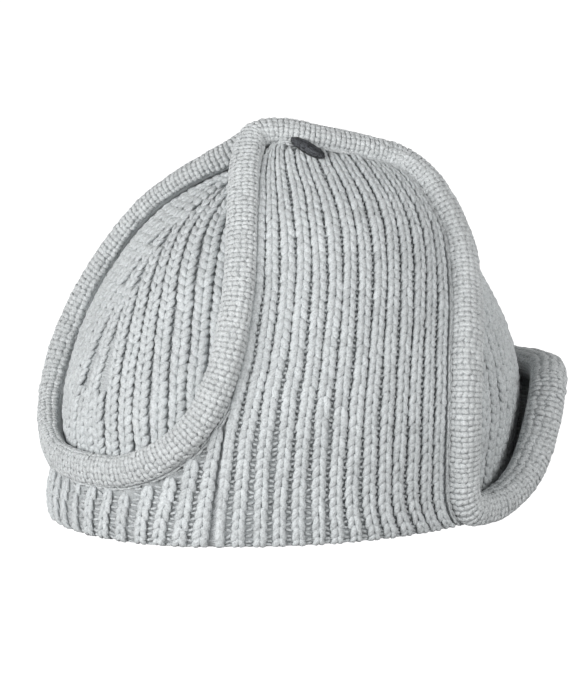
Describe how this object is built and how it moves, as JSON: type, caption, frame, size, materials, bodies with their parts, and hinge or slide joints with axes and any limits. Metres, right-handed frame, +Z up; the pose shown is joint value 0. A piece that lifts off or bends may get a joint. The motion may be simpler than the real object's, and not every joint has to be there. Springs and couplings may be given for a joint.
{
  "type": "knitted aviator hat",
  "caption": "Rib-knit hat with a rounded crown, ear flaps turned up to the top, a turned-up front brim, a tubular edging and a thread-covered button.",
  "frame": {"origin": "middle of the hat's box, on the floor that the hem rests on", "axes": "+Z up, -Y the way the brim points, -X towards the wearer's right ear"},
  "size_m": [0.187, 0.2348, 0.1661],
  "materials": {
    "crown": "light grey melange rib knit",
    "ear_flap_band": "light grey melange rib knit",
    "front_brim": "light grey melange rib knit",
    "edging": "light grey melange plain knit",
    "tip_button": "charcoal thread, matt"
  },
  "bodies": {
    "root": {"crown": "crown", "ear_flap_band": "ear_flap_band", "front_brim": "front_brim", "edging": "edging", "tip_button": "tip_button"}
  },
  "joints": []
}
